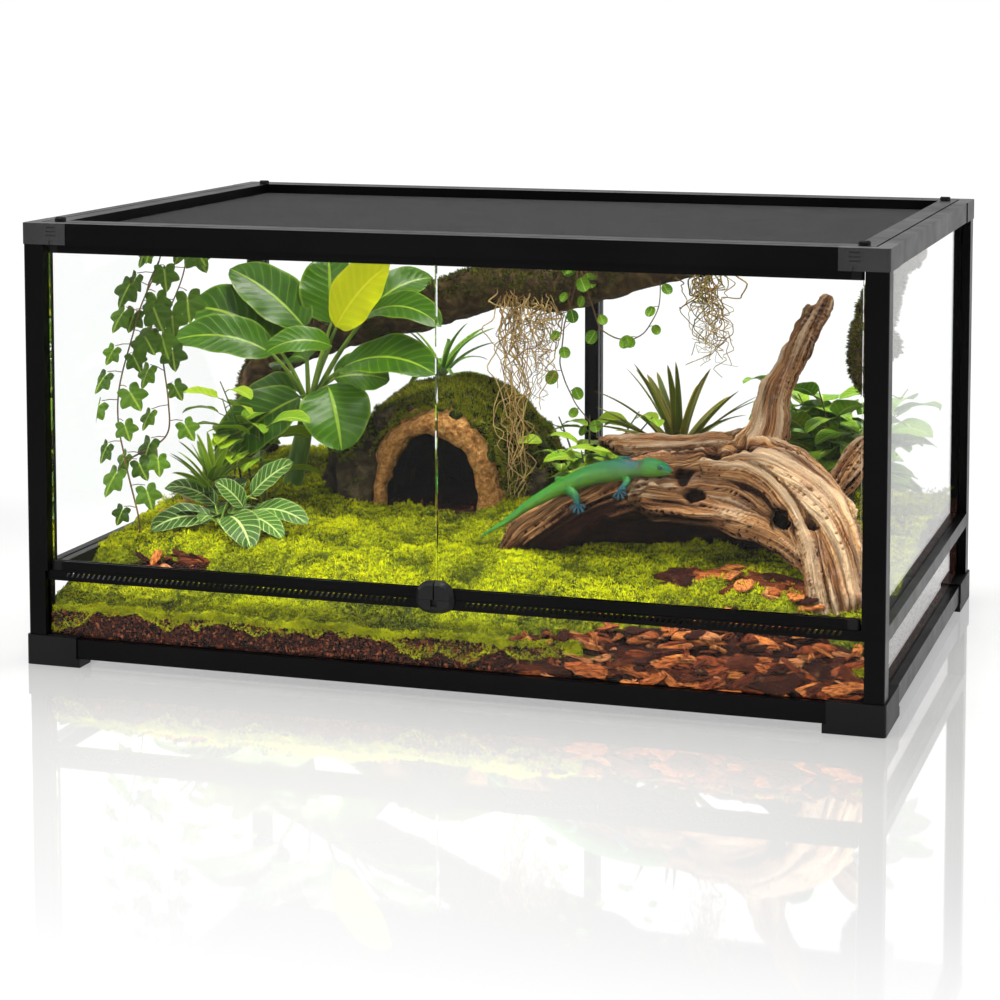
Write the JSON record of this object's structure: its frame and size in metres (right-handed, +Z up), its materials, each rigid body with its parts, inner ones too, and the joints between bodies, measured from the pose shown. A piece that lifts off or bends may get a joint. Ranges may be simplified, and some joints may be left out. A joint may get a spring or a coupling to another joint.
{
  "type": "planted glass terrarium",
  "caption": "Front-opening glass terrarium in a black knock-down frame with vented front strip, hinged doors, lockable screen lid and a planted moss, driftwood and cave habitat.",
  "frame": {"origin": "centre of the tank on the plane that the feet stand on", "axes": "+X to the right along the front, +Y to the back, +Z up"},
  "size_m": [0.914, 0.61, 0.4741],
  "materials": {
    "frame": "satin black",
    "moulded_plastic": "fine grain black",
    "glass": "clear",
    "screen_mesh": "matte black",
    "soil": "coarse, moist",
    "moss": "soft",
    "bark": "rough",
    "cork": "rough, mossy",
    "driftwood": "weathered",
    "mossy_wood": "rough, mossy",
    "vine": "waxy leaf",
    "leaf": "waxy leaf",
    "gecko_skin": "fine scales"
  },
  "bodies": {
    "enclosure": {"foot_front_left": "moulded_plastic", "foot_front_right": "moulded_plastic", "foot_back_left": "moulded_plastic", "foot_back_right": "moulded_plastic", "base_rail_front": "frame", "base_rail_back": "frame", "base_rail_left": "frame", "base_rail_right": "frame", "floor_pane": "glass", "lower_posts": "frame", "tub_panes": "glass", "rim_rail_left": "frame", "rim_rail_right": "frame", "rim_rail_back": "frame", "vent_strip": "frame", "post_front_left": "frame", "post_front_right": "frame", "post_back_left": "frame", "post_back_right": "frame", "post_back_centre": "frame", "side_pane_left": "glass", "side_pane_right": "glass", "back_pane_left": "glass", "back_pane_right": "glass", "top_rail_front": "frame", "top_rail_back": "frame", "top_rail_left": "frame", "top_rail_right": "frame", "connector_front_left": "moulded_plastic", "connector_front_right": "moulded_plastic", "connector_back_left": "moulded_plastic", "connector_back_right": "moulded_plastic", "hinge_bushes": "moulded_plastic", "lock_housing": "moulded_plastic", "soil_bed": "soil", "moss_carpet": "moss", "bark_pieces": "bark", "cork_cave": "cork", "driftwood": "driftwood", "mossy_branches": "mossy_wood", "hanging_vines": "vine", "broadleaf_plant": "leaf", "low_plants": "leaf", "back_plants": "leaf", "gecko": "gecko_skin"},
    "left_door": {"left_door_glass": "glass", "left_door_strips": "frame", "left_door_caps": "moulded_plastic", "left_door_pull": "moulded_plastic"},
    "right_door": {"right_door_glass": "glass", "right_door_strips": "frame", "right_door_caps": "moulded_plastic", "right_door_pull": "moulded_plastic"},
    "bolt": {"lock_bolt": "moulded_plastic"},
    "lid": {"lid_frame": "frame", "lid_screen": "screen_mesh"},
    "lock_front_left": {"lid_lock_front_left": "moulded_plastic"},
    "lock_front_right": {"lid_lock_front_right": "moulded_plastic"},
    "lock_back_left": {"lid_lock_back_left": "moulded_plastic"},
    "lock_back_right": {"lid_lock_back_right": "moulded_plastic"}
  },
  "joints": [
    {"name": "left_door_hinge", "type": "hinge", "parent": "enclosure", "child": "left_door", "pos_m": [-0.426, -0.294, 0.101], "axis": [0, 0, -1], "range_deg": [0, 95]},
    {"name": "right_door_hinge", "type": "hinge", "parent": "enclosure", "child": "right_door", "pos_m": [0.426, -0.294, 0.101], "axis": [0, 0, 1], "range_deg": [0, 95]},
    {"name": "lock_slide", "type": "slide", "parent": "enclosure", "child": "bolt", "axis": [0, 0, 1], "range_m": [0, 0.006]},
    {"name": "lid_lift", "type": "slide", "parent": "enclosure", "child": "lid", "axis": [0, 0, 1], "range_m": [0, 0.06]},
    {"name": "lid_lock_turn_front_left", "type": "hinge", "parent": "lid", "child": "lock_front_left", "pos_m": [-0.426, -0.274, 0.47], "axis": [0, 0, -1], "range_deg": [0, 90]},
    {"name": "lid_lock_turn_front_right", "type": "hinge", "parent": "lid", "child": "lock_front_right", "pos_m": [0.426, -0.274, 0.47], "axis": [0, 0, 1], "range_deg": [0, 90]},
    {"name": "lid_lock_turn_back_left", "type": "hinge", "parent": "lid", "child": "lock_back_left", "pos_m": [-0.426, 0.274, 0.47], "axis": [0, 0, 1], "range_deg": [0, 90]},
    {"name": "lid_lock_turn_back_right", "type": "hinge", "parent": "lid", "child": "lock_back_right", "pos_m": [0.426, 0.274, 0.47], "axis": [0, 0, -1], "range_deg": [0, 90]}
  ]
}
